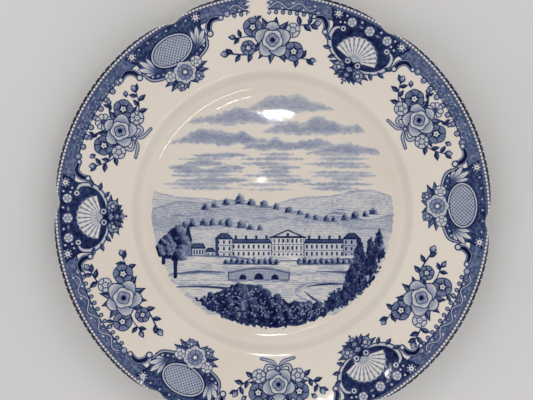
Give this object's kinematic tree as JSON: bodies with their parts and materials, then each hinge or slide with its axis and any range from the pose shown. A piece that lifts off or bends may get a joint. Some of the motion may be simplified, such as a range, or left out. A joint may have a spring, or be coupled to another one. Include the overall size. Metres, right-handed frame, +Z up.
{
  "type": "dinner plate",
  "caption": "Round earthenware dinner plate with a shallow lobed edge, a raised rim round a flat well, a foot ring, and blue flower and landscape prints under clear glaze.",
  "frame": {"origin": "middle of the plane the foot ring rests on", "axes": "+Z up out of the face of the plate, +Y towards the top of the landscape in the well, +X towards its right-hand side"},
  "size_m": [0.252, 0.2538, 0.0225],
  "materials": {
    "cream_glaze": "glossy clear glaze over a cream earthenware body",
    "landscape_ink": "cobalt blue transfer print, stippled in several tones, under glossy clear glaze",
    "cartouche_ink": "dark cobalt blue transfer print under glossy clear glaze",
    "flower_ink": "cobalt blue transfer print of flowers under glossy clear glaze",
    "border_ink": "stippled mid-blue transfer print under glossy clear glaze",
    "bead_ink": "cobalt blue line of beads under glossy clear glaze"
  },
  "bodies": {
    "root": {"earthenware_body": "cream_glaze", "landscape_print": "landscape_ink", "lattice_cartouche_print_1": "cartouche_ink", "lattice_cartouche_print_2": "cartouche_ink", "lattice_cartouche_print_3": "cartouche_ink", "shell_cartouche_print_1": "cartouche_ink", "shell_cartouche_print_2": "cartouche_ink", "shell_cartouche_print_3": "cartouche_ink", "bouquet_print_1": "flower_ink", "bouquet_print_2": "flower_ink", "bouquet_print_3": "flower_ink", "rose_spray_print_1": "flower_ink", "rose_spray_print_2": "flower_ink", "rose_spray_print_3": "flower_ink", "arch_border_print_1": "border_ink", "arch_border_print_2": "border_ink", "arch_border_print_3": "border_ink", "leaf_border_print_1": "border_ink", "leaf_border_print_2": "border_ink", "leaf_border_print_3": "border_ink", "edge_bead_print_1": "bead_ink", "edge_bead_print_2": "bead_ink", "edge_bead_print_3": "bead_ink", "edge_bead_print_4": "bead_ink", "edge_bead_print_5": "bead_ink", "edge_bead_print_6": "bead_ink"}
  },
  "joints": []
}
